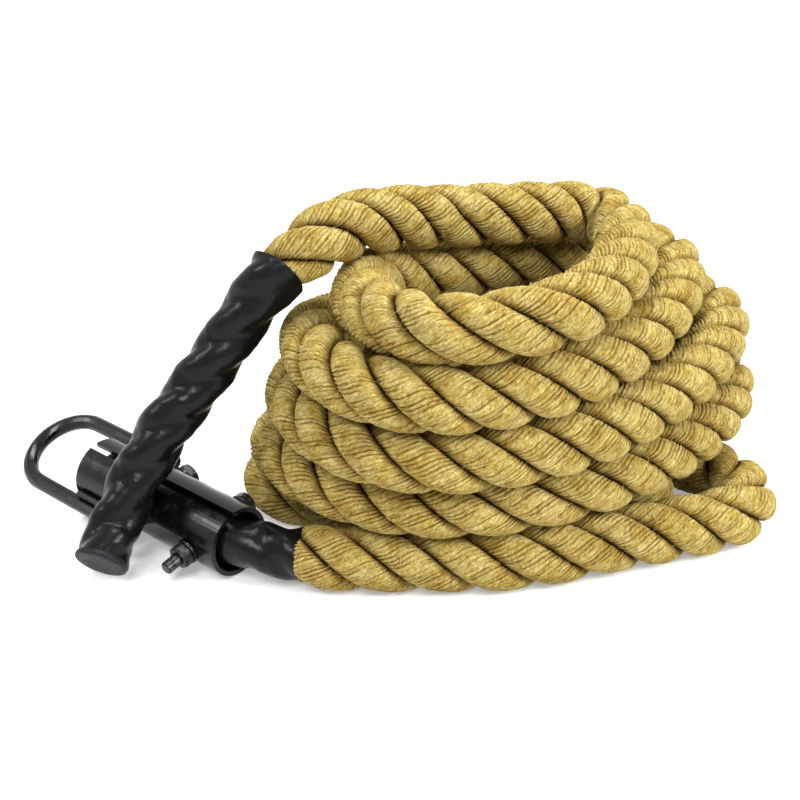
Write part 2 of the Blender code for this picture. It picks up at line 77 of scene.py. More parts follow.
# The rope's two free runs, in rope diameters from the coil's middle on the floor
FREE_TAIL_ROUTE_SHARES = (
    (-1.63, 0.64, 5.18),
    (-2.42, 0.09, 5.24),
    (-2.97, -0.36, 5.07),
    (-3.46, -0.50, 4.70),
)
FREE_SLEEVE_ROUTE_SHARES = (
    (-3.74, -0.51, 4.39),
    (-4.00, -0.50, 4.03),
    (-4.27, -0.55, 3.63),
    (-4.54, -0.62, 3.26),
    (-4.90, -0.72, 2.76),
    (-5.26, -0.87, 2.32),
    (-5.56, -0.98, 1.84),
    (-5.86, -1.14, 1.33),
    (-6.10, -1.43, 0.82),
    (-6.27, -1.90, 0.46),
)
CLAMP_TAIL_ROUTE_SHARES = (
    (0.71, -1.74, 0.52),
    (-0.08, -1.91, 0.52),
    (-1.63, -1.95, 0.52),
    (-2.41, -1.93, 0.52),
    (-3.19, -1.82, 0.52),
)
CLAMP_SLEEVE_NECK_DEPTH = 0.012
HELD_END_DEPTH = 0.008

# Clamp tube
TUBE_LENGTH = 0.126
TUBE_YAW = math.radians(-40.8)
TUBE_DIP = math.radians(1.5)
ROPE_MOUTH = np.array([-0.090394, -0.07149, 0.0223])

# Tracing of the centre line
TAIL_START_POINTS = 3
TAIL_CURVE_STEPS = 24
LINE_STEP = 0.001
LINE_RELAX_PASSES = 12

# Extra turn of the lay in degrees at distances along the rope, worked out from the seams between
# strands as read off the photograph, and the offsets over which it is eased
PHASE_KNOTS = (0.20, 0.26, 0.30, 0.35, 0.40, 0.43, 0.465, 0.64, 1.03, 1.10, 1.17, 1.24, 1.28, 1.32,
               1.75, 1.95, 2.04, 2.55, 2.70, 2.74, 2.78, 2.81, 3.85, 3.89, 3.94, 3.98, 4.03, 4.09)
PHASE_SHIFTS = (0, 20, 42, 58, 70, 98, 140, 138, 215, 215, 204, 203, 210, 235,
                323, 346, 346, 388, 452, 425, 402, 392, 592, 607, 606, 594, 580, 563)
PHASE_EASING = (-0.02, -0.01, 0.0, 0.01, 0.02)

# Strands, and one strand's section in rope diameters: its middle, its reach outwards and sideways
STRANDS = 3
STRAND_MIDDLE_SHARE = 0.264
STRAND_OUT_SHARE = 0.224
STRAND_SIDE_SHARE = 0.298
STRAND_GAP = 0.0001
LEAST_HEIGHT = 0.0002

# Yarns: columns for each, turns round the strand for each turn of the strand round the rope, and the
# share of a yarn's ridge that lies beneath the strand's oval
YARN_COLUMNS = 4
YARN_TWIST = 2.5
YARN_SUNK_SHARE = 0.4

# Shares of the diameter between which a strand's colour goes from painted shade in the seam to open yarn
SEAM_SHADE_SHARES = (0.30, 0.47)

# What wanders along the rope, which is shorter than LONGEST_ROPE: the length over which each changes,
# and how much it changes by
LONGEST_ROPE = 5.0
GROOVE_STEP, GROOVE_DEPTH, GROOVE_SPREAD, GROOVE_LIMITS = 0.009, 0.62, 0.75, (0.08, 1.2)
LOOSE_STEP, LOOSE_SHARE = 0.011, 0.25
ROUGH_STEP, ROUGH_SHARE = 0.0042, 0.12
SWELL_STEP, SWELL_SHARE = 0.03, 0.014
TONE_STEP = 0.04

# Distances along the rope at which it is laid a little looser, and how much thicker it is there
PLUMP_PLACES = ((1.206, 0.03), (1.944, 0.04))
PLUMP_REACH = 0.03

# The strands' cut end, and the rope's radii in the clamp's mouth and where it is held
CUT_END = 0.002
MOUTH_RADIUS = 0.0131
HELD_RADIUS = 0.0146

# Loose fibres: how far they stay from a sleeve, then their form; angles are radians, and lift, bend
# and curl are shares of the length
FIBRE_MARGIN = 0.012
FIBRE_SEED = 10
FIBRE_POINTS = 6
FIBRE_START_ANGLE = 1.9
FIBRE_VEER = 0.45
FIBRE_LENGTHS = (0.003, 0.010)
FIBRE_RADII = (0.00009, 0.00020)
FIBRE_LEAST_LIFT, FIBRE_MORE_LIFT = 0.08, 0.75
FIBRE_BENDS = (0.3, 1.1)
FIBRE_CURL = 0.5

# Sleeves: stations along them, the film's columns and its softness between the strands, the waves of
# its rumples, the angles that round its edge, then the long sleeve's rim, which flares and is drawn
# out towards one side, and the short sleeve's radii at its edge, in the clamp's mouth and further in
FREE_SLEEVE_STATIONS = 200
CLAMP_SLEEVE_STATIONS = 150
FILM_COLUMNS = 112
FILM_SOFTNESS = 0.35
RUMPLE_SEED = 21
RUMPLE_WAVES = 16
RUMPLE_TURNS = 3
RUMPLE_LENGTHS = (0.013, 0.045)
RUMPLE_HEIGHTS = (0.4, 1.0)
EDGE_ANGLES = math.pi * np.array([0.15, 0.5, 0.85])
RIM_LENGTH = 0.03
RIM_FLARE = 0.0018
RIM_SMOOTHING = 0.4
SLANT_REACH = 0.0088
SLANT_TOWARD = (0.42, -0.82, 0.40)
CLAMP_SLEEVE_RADII = (0.0175, 0.0148, 0.0165, 0.0165)

# The film over the cut end: its columns, how far its middle lies off the rope's, sideways and upwards,
# its folds' height, then its rings' shares of the radius, depths along the rope and shares of the folds
END_COLUMNS = 72
END_OFFSETS = (0.0003, 0.0005)
END_FOLD = 0.0002
END_RING_SHARES = (0.88, 0.96, 0.99, 0.98, 0.93, 0.82, 0.62, 0.42, 0.20)
END_RING_DEPTHS = (0.0020, 0.0004, -0.0012, -0.0022, -0.0028, -0.0030, -0.0031, -0.0030, -0.0030)
END_FOLD_SHARES = (0.0, 0.0, 0.0, 0.2, 0.6, 1.0, 1.0, 0.8, 0.5)

# Stage; the lamps are name, place, size and watts
AIM_POINT = (0.0058, -0.0274, 0.095)
CAMERA_LENS = 67.23
FLOOR_REACH = 20.0
FLOOR_CELLS = 8
FLOOR_DROP = 0.0004
WORLD_LIGHT = 0.16
LAMPS = (
    ("key", (-0.35, -1.25, 1.5), 0.7, 22.0),
    ("right", (1.35, -0.75, 1.0), 0.6, 29.0),
    ("left", (-1.45, -0.15, 1.2), 0.5, 9.0),
    ("top", (0.1, 0.3, 1.6), 0.7, 21.0),
)


class RopeLook(bpy.types.PropertyGroup):
    """Sizes of the laid rope."""
    diameter: bpy.props.FloatProperty(
        name="Rope diameter", description="Across the crests of the strands",
        default=0.038, min=0.02, max=0.06, unit="LENGTH", subtype="DISTANCE")
    swell: bpy.props.FloatProperty(
        name="Swell", description="Thickness of the open rope, 1 being its nominal diameter",
        default=1.025, min=0.9, max=1.1)
    lead: bpy.props.FloatProperty(
        name="Lay length", description="Along the rope for one whole turn of a strand",
        default=0.094, min=0.04, max=0.2, unit="LENGTH", subtype="DISTANCE")
    yarns: bpy.props.IntProperty(
        name="Yarns", description="Yarn ridges round one strand", default=23, min=8, max=40)
    ridge: bpy.props.FloatProperty(
        name="Ridge height", description="How far a yarn stands out of its strand",
        default=0.0010, min=0.0, max=0.002, unit="LENGTH", subtype="DISTANCE")
    step: bpy.props.FloatProperty(
        name="Station step", description="Distance between two sections along the rope",
        default=0.002, min=0.001, max=0.01, unit="LENGTH", subtype="DISTANCE")
    fibres: bpy.props.IntProperty(
        name="Loose fibres", description="Fibres that stand off the yarns, on each metre of rope",
        default=1500, min=0, max=4000)
    jute: bpy.props.FloatVectorProperty(
        name="Jute", description="Colour of a yarn's crest", subtype="COLOR",
        default=(0.67, 0.568, 0.216), min=0.0, max=1.0)
    jute_shade: bpy.props.FloatVectorProperty(
        name="Jute in shade", description="Colour between the fibres", subtype="COLOR",
        default=(0.25, 0.175, 0.04), min=0.0, max=1.0)


class SleeveLook(bpy.types.PropertyGroup):
    """Sizes of the two shrink sleeves."""
    free_diameter: bpy.props.FloatProperty(
        name="Free sleeve diameter", description="Across the bumps of the long sleeve",
        default=0.034, min=0.02, max=0.06, unit="LENGTH", subtype="DISTANCE")
    wall: bpy.props.FloatProperty(
        name="Wall", description="Thickness of the shrunk film",
        default=0.0014, min=0.0005, max=0.004, unit="LENGTH", subtype="DISTANCE")
    relief: bpy.props.FloatProperty(
        name="Relief", description="How deep the film sinks between the strands, of its radius",
        default=0.24, min=0.0, max=0.5, subtype="FACTOR")
    rumple: bpy.props.FloatProperty(
        name="Rumple", description="Height of the film's dents and folds",
        default=0.0010, min=0.0, max=0.005, unit="LENGTH", subtype="DISTANCE")
    film: bpy.props.FloatVectorProperty(
        name="Film", description="Colour of the shrink film", subtype="COLOR",
        default=(0.002, 0.002, 0.0025), min=0.0, max=1.0)


class ClampLook(bpy.types.PropertyGroup):
    """Finishes of the clamp and its fasteners."""
    paint: bpy.props.FloatVectorProperty(
        name="Paint", description="Colour of the clamp's paint", subtype="COLOR",
        default=(0.003, 0.003, 0.0035), min=0.0, max=1.0)
    steel: bpy.props.FloatVectorProperty(
        name="Steel", description="Colour of the bolts and nuts", subtype="COLOR",
        default=(0.014, 0.014, 0.015), min=0.0, max=1.0)


class StageLook(bpy.types.PropertyGroup):
    """Camera, lamps and floor."""
    camera_distance: bpy.props.FloatProperty(
        name="Camera distance", description="From the aim point to the camera",
        default=0.9, min=0.3, max=5.0, unit="LENGTH", subtype="DISTANCE")
    camera_height: bpy.props.FloatProperty(
        name="Camera elevation", description="Angle above the floor",
        default=math.radians(26.0), min=0.0, max=math.pi / 2, unit="ROTATION", subtype="ANGLE")
    floor: bpy.props.FloatVectorProperty(
        name="Floor", description="Colour of the floor", subtype="COLOR",
        default=(0.86, 0.86, 0.86), min=0.0, max=1.0)


def eased(values, steps):
    """Cosine blend between the neighbours of a list, at fractional steps."""
    values = np.asarray(values, float)
    steps = np.clip(steps, 0, len(values) - 1)
    low = np.minimum(np.floor(steps).astype(int), len(values) - 2)
    share = (1 - np.cos(math.pi * (steps - low))) / 2
    return values[low] * (1 - share) + values[low + 1] * share


def smooth_line(points, steps):
    """Catmull-Rom curve through points, or through a list of numbers, at fractional steps."""
    points = np.asarray(points, float)
    steps = np.clip(steps, 0, len(points) - 1)
    low = np.minimum(np.floor(steps).astype(int), len(points) - 2)
    t = steps - low
    padded = np.concatenate([[2 * points[0] - points[1]], points, [2 * points[-1] - points[-2]]])
    if points.ndim == 2:
        t = t[:, None]
    before, here, there, after = (padded[low + k] for k in range(4))
    straight = 2 * here + (there - before) * t
    bend = (2 * before - 5 * here + 4 * there - after) * t ** 2
    turn = (3 * here - before - 3 * there + after) * t ** 3
    return (straight + bend + turn) / 2


def woven(*lists):
    """The lists' values in turn, one of each at a time, as far as the first list goes."""
    rows = [row for group in zip(*lists) for row in group]
    if len(lists[0]) > len(lists[-1]):
        rows.append(lists[0][-1])
    return rows


def travelled(points):
    """Distance along a line at each of its points."""
    steps = np.linalg.norm(np.diff(points, axis=0), axis=1)
    return np.concatenate([[0.0], np.cumsum(steps)])


def at_distances(points, distances):
    along = travelled(points)
    return np.stack([np.interp(distances, along, points[:, k]) for k in range(3)], axis=1)


def evenly(points, count):
    return at_distances(points, np.linspace(0.0, travelled(points)[-1], count))


def relaxed(points, passes):
    """Each point drawn towards its neighbours, again and again; the two ends stay."""
    points = points.copy()
    for _ in range(passes):
        points[1:-1] = (points[:-2] + 2 * points[1:-1] + points[2:]) / 4
    return points


def unit(vectors):
    return vectors / np.linalg.norm(vectors, axis=-1, keepdims=True)


def coil_line(rope):
    """Centre line of the coil: six ovals whose reaches and heights are eased from one to the next.

    x is the side reach times the sine of the turn, and y the depth times its cosine plus the drift
    times its sine, both drawn a little towards the corners; z falls from the top loop to the floor.
    """
    turns = np.linspace(COIL_START_TURN, COIL_END_TURN, COIL_TRACE_POINTS)
    angle = math.tau * turns
    side = eased(woven(RIGHT_REACH_SHARES, LEFT_REACH_SHARES), 2 * turns - 0.5)
    drift = eased(woven(RIGHT_DRIFT_SHARES, LEFT_DRIFT_SHARES), 2 * turns - 0.5)
    deep = eased(woven(BACK_REACH_SHARES, FRONT_REACH_SHARES), 2 * turns)
    back_and_front = woven(BACK_HEIGHT_SHARES, FRONT_HEIGHT_SHARES)
    right_and_left = woven(RIGHT_HEIGHT_SHARES, LEFT_HEIGHT_SHARES)
    height = smooth_line(woven(back_and_front, right_and_left), 4 * turns)
    across = np.sign(np.sin(angle)) * np.abs(np.sin(angle)) ** COIL_CORNER_SHARE
    back = np.sign(np.cos(angle)) * np.abs(np.cos(angle)) ** COIL_CORNER_SHARE
    traced = COIL_CENTRE + rope * np.stack([side * across, deep * back + drift * across, height + 0.5], 1)
    traced = evenly(traced, round(travelled(traced)[-1] / COIL_TRACE_STEP))
    traced = relaxed(traced, COIL_RELAX_PASSES)
    first = traced[0] + rope * unit(traced[0] - traced[1])
    last = traced[-1] + rope * unit(traced[-1] - traced[-2])
    return np.concatenate([[first], traced, [last]])


def tail_line(coil, rope, points, marks):
    """A free run that leaves the end of the coil straight, and the marked points' distances on it."""
    ahead = unit(coil[-1] - coil[-2])
    start = [coil[-1] + (SEAT_GAP + step * rope / TAIL_START_POINTS) * ahead
             for step in range(TAIL_START_POINTS)]
    points = np.concatenate([start, points])
    spans = len(points) - 1
    curve = smooth_line(points, np.linspace(0, spans, TAIL_CURVE_STEPS * spans + 1))
    along = travelled(curve)
    return curve, [along[TAIL_CURVE_STEPS * (mark + TAIL_START_POINTS)] for mark in marks]


def tube_axis():
    """Direction of the clamp tube, from its bail to the end at which the rope goes in."""
    flat = math.cos(TUBE_DIP)
    return np.array([math.cos(TUBE_YAW) * flat, math.sin(TUBE_YAW) * flat, -math.sin(TUBE_DIP)])


def rope_line(rope):
    """The whole centre line, from the free end round the coil to the end in the clamp.

    Gives its points, and the distances at which the sleeves and the coil begin and end.
    """
    coil = coil_line(rope)
    shares = np.array(FREE_TAIL_ROUTE_SHARES + FREE_SLEEVE_ROUTE_SHARES)
    rim_index = len(FREE_TAIL_ROUTE_SHARES) - 1
    free, (rim, free_end) = tail_line(
        coil[::-1], rope, COIL_CENTRE + rope * shares, (rim_index, len(shares) - 1))
    depths = CLAMP_SLEEVE_NECK_DEPTH * np.array([0.0, 1.0, 2.0, 4.0])
    heights = np.append(TUBE_LENGTH - depths, HELD_END_DEPTH)
    inside = ROPE_MOUTH - TUBE_LENGTH * tube_axis() + heights[:, None] * tube_axis()
    outside = COIL_CENTRE + rope * np.array(CLAMP_TAIL_ROUTE_SHARES)
    edge_index = len(outside) - 1
    marks = (edge_index, edge_index + 1, edge_index + 2, edge_index + 5)
    held, (edge, mouth, neck, held_end) = tail_line(
        coil, rope, np.concatenate([outside, inside]), marks)
    whole = np.concatenate([free[::-1], coil[1:-1], held])
    count = round(travelled(whole)[-1] / LINE_STEP) + 1
    whole = relaxed(evenly(whole, count), LINE_RELAX_PASSES)
    length = travelled(whole)[-1]
    coil_end = length - held_end
    return whole, {
        "rim": free_end - rim,
        "coil_start": free_end,
        "coil_end": coil_end,
        "edge": coil_end + edge,
        "mouth": coil_end + mouth,
        "neck": coil_end + neck,
        "held_end": length,
    }


def directions(line):
    """Unit vectors along a line, upwards across it, and to its side: up x side = along."""
    along = unit(np.gradient(line, axis=0))
    up = unit(np.array([0.0, 0.0, 1.0]) - along[:, 2:] * along)
    return along, up, np.cross(along, up)


def lay_phase(distance, look):
    """Turn of the first strand round the rope at a distance along it, from straight up."""
    shifts = [np.interp(distance + offset, PHASE_KNOTS, PHASE_SHIFTS) for offset in PHASE_EASING]
    return math.tau * distance / look.lead + np.radians(sum(shifts) / len(shifts))


def wander(rng, distance, count, step):
    """Smooth random numbers between -1 and 1: one column each, changing every step along the rope."""
    places = distance / step
    low = np.floor(places).astype(int)
    part = (places - low)[:, None]
    part = part * part * (3 - 2 * part)
    knots = rng.uniform(-1.0, 1.0, (round(LONGEST_ROPE / step), count))
    return knots[low] * (1 - part) + knots[low + 1] * part


def wander_by_yarn(rng, distance, look, step):
    """As wander, with one number for each yarn in all of its columns."""
    return np.repeat(wander(rng, distance, look.yarns, step), YARN_COLUMNS, axis=1)


def turned(angle, up, side):
    """Directions at an angle from up, turned towards side: the cosine of up and the sine of side."""
    return np.cos(angle)[..., None] * up + np.sin(angle)[..., None] * side


def grid_faces(rows, columns, ring):
    """Quads of a grid whose columns close on themselves, and whose rows do too if it is a ring."""
    i = np.arange(rows if ring else rows - 1)[:, None]
    j = np.arange(columns)[None, :]
    after = (i + 1) % rows
    beside = (j + 1) % columns
    return np.stack([i * columns + j, i * columns + beside, after * columns + beside,
                     after * columns + j], -1).reshape(-1, 4)


def grid_uv(rows, columns):
    """Two numbers for each corner of a grid: the one of its row and the one of its column."""
    return np.stack(np.broadcast_arrays(rows[:, None], columns[None, :]), -1)


def inside_out(places, quads, triangles):
    """Whether a closed surface encloses a negative volume, which is so when its faces look inwards."""
    halves = np.concatenate([quads[:, :3], quads[:, [0, 2, 3]], triangles])
    a, b, c = (places[halves[:, k]] for k in range(3))
    return np.einsum("ij,ij->", a, np.cross(b, c)) < 0


def add_object(name, data):
    item = bpy.data.objects.new(name, data)
    bpy.context.scene.collection.objects.link(item)
    return item


def new_piece(name, places, quads, triangles, material):
    """An object from corner places, quads and triangles; the triangles are shaded flat."""
    mesh = bpy.data.meshes.new(name)
    mesh.vertices.add(len(places))
    mesh.vertices.foreach_set("co", places.astype(np.float32).ravel())
    loops = np.concatenate([quads.ravel(), triangles.ravel()])
    mesh.loops.add(len(loops))
    mesh.loops.foreach_set("vertex_index", loops.astype(np.int32))
    starts = np.concatenate([4 * np.arange(len(quads)), 4 * len(quads) + 3 * np.arange(len(triangles))])
    mesh.polygons.add(len(starts))
    mesh.polygons.foreach_set("loop_start", starts.astype(np.int32))
    mesh.update(calc_edges=True)
    mesh.shade_smooth()
    flat = mesh.attributes.new("sharp_face", "BOOLEAN", "FACE")
    flat.data.foreach_set("value", np.arange(len(starts)) >= len(quads))
    mesh.materials.append(material)
    return add_object(name, mesh)


def add_surface(name, points, material, ring=False, uv=None, colours=None):
    """A closed surface from rows of points, its open ends filled by fans, its faces outwards.

    points has one row for each station and one column for each place round it; uv gives each of
    them two numbers, with one more column for where the rows close; colours gives them four, which hold
    painted shade and tone and are stored as a colour attribute.
    """
    rows, columns = points.shape[:2]
    places = points.reshape(-1, 3)
    quads = grid_faces(rows, columns, ring)
    if uv is None:
        uv = grid_uv(np.arange(rows + 1) / rows, np.arange(columns + 1) / columns)
    i, j = np.divmod(quads[:, 0], columns)
    corners = np.stack([uv[i, j], uv[i, j + 1], uv[i + 1, j + 1], uv[i + 1, j]], 1)
    fans = np.zeros((0, 3), int)
    fan_uv = np.zeros((0, 3, 2))
    if not ring:
        places = np.concatenate([places, points[:1].mean(1), points[-1:].mean(1)])
        j = np.arange(columns)
        for row, middle, here, there in ((0, rows * columns, j + 1, j),
                                         (rows - 1, rows * columns + 1, j, j + 1)):
            corner = row * columns + np.stack([here, there], -1) % columns
            fans = np.concatenate([fans, np.insert(corner, 2, middle, axis=1)])
            tip = np.broadcast_to(uv[row, 0], (columns, 2))
            fan_uv = np.concatenate([fan_uv, np.stack([uv[row, here], uv[row, there], tip], 1)])
    if inside_out(places, quads, fans):
        quads, corners = quads[:, ::-1], corners[:, ::-1]
        fans, fan_uv = fans[:, ::-1], fan_uv[:, ::-1]
    item = new_piece(name, places, quads, fans, material)
    mesh = item.data
    layer = mesh.uv_layers.new(name="surface")
    layer.data.foreach_set("uv", np.concatenate([corners.ravel(), fan_uv.ravel()]).astype(np.float32))
    if colours is not None:
        flat = colours.reshape(-1, 4)
        if not ring:
            flat = np.concatenate([flat, colours[0].mean(0)[None], colours[-1].mean(0)[None]])
        tint = mesh.attributes.new("painted_shade_and_tone", "FLOAT_COLOR", "POINT")
        tint.data.foreach_set("color", flat.astype(np.float32).ravel())
    return item


def squeeze(distance, marks, look, sleeve):
    """Thickness along the rope, 1 being nominal: a little more in the open, less in the sleeves."""
    radius = look.diameter / 2
    room = (sleeve.free_diameter / 2 - sleeve.wall - SEAT_GAP) / radius
    rim, edge = marks["rim"], marks["edge"]
    thickness = (
        (rim - 0.004, 0.96 * room),
        (rim + 0.002, 0.97 * room),
        (rim + 0.012, 0.87),
        (rim + 0.030, look.swell),
        (edge - 0.016, look.swell),
        (edge - 0.003, 0.93),
        (edge + 0.002, 0.84),
        (marks["mouth"], MOUTH_RADIUS / radius),
        (marks["neck"], HELD_RADIUS / radius),
    )
    plump = sum(share * np.exp(-((distance - place) / PLUMP_REACH) ** 2) for place, share in PLUMP_PLACES)
    return np.interp(distance, *zip(*thickness)) * (1 + plump)


def strand_points(line, distance, turn, size, look, rng):
    """Points, uv and colours of a strand: a flattened oval whose columns follow the yarns.

    The oval's middle turns round the rope with the lay. A point's place on the oval turns the other
    way, YARN_TWIST times as fast, so a few columns make a yarn. Each yarn adds a half sine of its own
    height, and no point goes past the plane that parts two strands. The uv is the distance along the
    rope and the number of the yarn.
    """
    columns = look.yarns * YARN_COLUMNS
    column = np.arange(columns)
    phase = lay_phase(distance, look) + turn
    theta = math.tau * column[None, :] / columns - YARN_TWIST * phase[:, None]
    middle = STRAND_MIDDLE_SHARE * look.diameter
    out = STRAND_OUT_SHARE * look.diameter
    wide = STRAND_SIDE_SHARE * look.diameter
    valley = 1 - np.abs(np.sin(math.pi * (column % YARN_COLUMNS) / YARN_COLUMNS))
    depth = GROOVE_DEPTH + GROOVE_SPREAD * wander_by_yarn(rng, distance, look, GROOVE_STEP)
    crest = 1 - valley * np.clip(depth, *GROOVE_LIMITS)
    loose = wander_by_yarn(rng, distance, look, LOOSE_STEP)
    rough = wander(rng, distance, columns, ROUGH_STEP)
    ridge = look.ridge * (crest - YARN_SUNK_SHARE + LOOSE_SHARE * loose + ROUGH_SHARE * rough)
    swell = 1 + SWELL_SHARE * wander(rng, distance, 1, SWELL_STEP)
    normal = unit(np.stack([np.cos(theta) / out, np.sin(theta) / wide], -1))
    reach = middle + swell * out * np.cos(theta) + normal[..., 0] * ridge
    aside = swell * wide * np.sin(theta) + normal[..., 1] * ridge
    far = np.hypot(reach, aside)
    limit = math.pi / STRANDS - STRAND_GAP / np.maximum(far, 2 * STRAND_GAP)
    angle = phase[:, None] + np.clip(np.arctan2(aside, reach), -limit, limit)
    # Painted shade: the colour darkens towards the seams between strands, where shade falls
    clear_of_seam_shade = np.interp(far / look.diameter, SEAM_SHADE_SHARES, (0.0, 1.0))
    tone = 0.5 + 0.5 * wander_by_yarn(rng, distance, look, TONE_STEP)
    # The colours carry the painted seam shade, the yarn's crest for painted shade in the grooves between
    # yarns, and the yarn's own tone
    colours = np.stack([clear_of_seam_shade, np.clip(crest + 0.15 * rough, 0, 1), tone, np.ones_like(far)], -1)
    _, up, side = directions(line)
    outwards = turned(angle, up[:, None, :], side[:, None, :])
    points = line[:, None, :] + (far * size[:, None])[..., None] * outwards
    points[..., 2] = np.maximum(points[..., 2], LEAST_HEIGHT)
    uv = grid_uv(np.append(distance, distance[-1]), np.arange(columns + 1) / YARN_COLUMNS)
    return points, uv, colours


def add_fibres(name, line, distance, bare, size, look, rng, material):
    """Loose jute fibres: thin three-sided threads that leave a yarn, curl and end in the open.

    Each starts on the oval of a strand chosen at random, between the two bare distances, runs more
    or less along the yarn there, lifts off by a random angle and bends back, and tapers to its end.
    """
    first, last = np.searchsorted(distance, bare)
    first, last = max(first, 2), min(last, len(distance) - 2)
    count = round(look.fibres * (distance[last] - distance[first]))
    index = rng.integers(first, last, count)
    phase = lay_phase(distance[index], look) + math.tau * rng.integers(0, STRANDS, count) / STRANDS
    theta = rng.uniform(-FIBRE_START_ANGLE, FIBRE_START_ANGLE, count)
    _, up, side = directions(line)
    spots = []
    for shift in (-1, 1):
        turned_on = lay_phase(distance[index + shift], look) - lay_phase(distance[index], look)
        oval = theta - YARN_TWIST * turned_on
        reach = look.diameter * (STRAND_MIDDLE_SHARE + STRAND_OUT_SHARE * np.cos(oval))
        aside = look.diameter * STRAND_SIDE_SHARE * np.sin(oval)
        angle = phase + turned_on + np.arctan2(aside, reach)
        far = np.hypot(reach, aside) * size[index + shift]
        outwards = turned(angle, up[index + shift], side[index + shift])
        spots.append(line[index + shift] + far[:, None] * outwards)
    root = (spots[0] + spots[1]) / 2
    ahead = unit(spots[1] - spots[0])
    out = root - line[index]
    out = unit(out - (out * ahead).sum(1)[:, None] * ahead)
    beside = np.cross(ahead, out)
    veer = rng.normal(0.0, FIBRE_VEER, count)[:, None]
    ahead = rng.choice([-1.0, 1.0], count)[:, None] * (np.cos(veer) * ahead + np.sin(veer) * beside)
    beside = np.cross(ahead, out)
    length = rng.uniform(*FIBRE_LENGTHS, count)[:, None, None]
    lift = (FIBRE_LEAST_LIFT + FIBRE_MORE_LIFT * rng.random(count) ** 2)[:, None, None]
    back = rng.uniform(*FIBRE_BENDS, count)[:, None, None]
    curl = rng.normal(0.0, FIBRE_CURL, count)[:, None, None]
    t = np.linspace(0.0, 1.0, FIBRE_POINTS)[None, :, None]
    paths = root[:, None, :] + length * (t * ahead[:, None, :] + curl * t ** 2 * beside[:, None, :]
                                         + lift * (t - back * t ** 2) * out[:, None, :])
    paths[..., 2] = np.maximum(paths[..., 2], 2 * LEAST_HEIGHT)
    thick = rng.uniform(*FIBRE_RADII, count)[:, None, None, None] * (1 - 0.75 * t[..., None])
    ring = turned(math.tau * np.arange(3) / 3, out[:, None, None, :], beside[:, None, None, :])
    return add_threads(name, paths[:, :, None, :] + thick * ring, material)


def add_threads(name, points, material):
    """Many closed threads in one mesh: points has one block of rows and columns for each thread."""
    count, rows, columns = points.shape[:3]
    quads = grid_faces(rows, columns, False)
    ends = np.array([[2, 1, 0], [rows * columns - 3, rows * columns - 2, rows * columns - 1]])
    shifts = rows * columns * np.arange(count)[:, None, None]
    quads = (quads[None] + shifts).reshape(-1, 4)
    ends = (ends[None] + shifts).reshape(-1, 3)
    places = points.reshape(-1, 3)
    if inside_out(places, quads, ends):
        quads, ends = quads[:, ::-1], ends[:, ::-1]
    return new_piece(name, places, quads, ends, material)


def rumpled(distance, psi):
    """Dents and folds round a sleeve, about -1 to 1: waves that slant across it, sharp at their tops."""
    rng = np.random.default_rng(RUMPLE_SEED)
    turns = rng.integers(-RUMPLE_TURNS, RUMPLE_TURNS + 1, RUMPLE_WAVES)
    lengths = rng.uniform(*RUMPLE_LENGTHS, RUMPLE_WAVES)
    angle = math.tau * (distance[:, None, None] / lengths + rng.random(RUMPLE_WAVES))
    wave = np.sin(angle + turns * psi[..., None])
    height = rng.uniform(*RUMPLE_HEIGHTS, RUMPLE_WAVES)
    return ((wave - 0.8 * np.abs(wave) + 0.5) * height).sum(-1) / math.sqrt(RUMPLE_WAVES)


def film_section(distance, radius, look, sleeve, relief):
    """A film over three strands: a circle that sinks between them as their phase turns."""
    psi = math.tau * np.arange(FILM_COLUMNS)[None, :] / FILM_COLUMNS
    phase = lay_phase(distance, look)[:, None]
    lobe = np.hypot(np.cos(STRANDS / 2 * (psi - phase)), FILM_SOFTNESS) / math.hypot(1, FILM_SOFTNESS)
    far = radius[:, None] * (1 - relief[:, None] * (1 - lobe))
    return far - sleeve.rumple * np.clip(0.5 - 0.5 * rumpled(distance, psi), 0.0, 1.5), psi


def rim_share(distance):
    """From 0 at the start of a sleeve's last stretch to 1 at its rim."""
    return np.clip(1 - (distance[-1] - distance) / RIM_LENGTH, 0.0, 1.0)


def add_sleeve(name, line, distance, radius, relief, look, sleeve, material, slant=None):
    """A sleeve with a wall: the film's outside, a rounded rim, its inside and the other rim.

    A slant is the direction towards which its last stretch is drawn out, so that its rim lies askew.
    """
    outside, psi = film_section(distance, radius, look, sleeve, relief)
    stations = np.arange(len(distance))
    zero = np.zeros(len(distance))
    half = sleeve.wall / 2
    arc_in, arc_out = half * np.cos(EDGE_ANGLES), half * np.sin(EDGE_ANGLES)
    order = np.concatenate([stations, np.full(3, stations[-1]), stations[::-1], np.zeros(3, int)])
    inset = np.concatenate([zero, half - arc_in, zero + sleeve.wall, half + arc_in])
    push = np.concatenate([zero, arc_out, zero, -arc_out])
    far = outside[order] - inset[:, None]
    path = at_distances(line, distance)
    along, up, side = directions(path)
    push = push[:, None] * np.ones_like(psi)
    if slant is not None:
        upward, sideways = unit(np.array([up[-1] @ slant, side[-1] @ slant]))
        askew = upward * np.cos(psi) + sideways * np.sin(psi)
        push = push + SLANT_REACH * rim_share(distance)[order, None] ** 2 * askew
    rows = path[order][:, None, :] + push[..., None] * along[order][:, None, :]
    rows = rows + far[..., None] * turned(psi, up[order][:, None, :], side[order][:, None, :])
    uv = grid_uv(np.append(distance[order], distance[0]), np.arange(FILM_COLUMNS + 1) / FILM_COLUMNS)
    return add_surface(name, rows, material, ring=True, uv=uv)


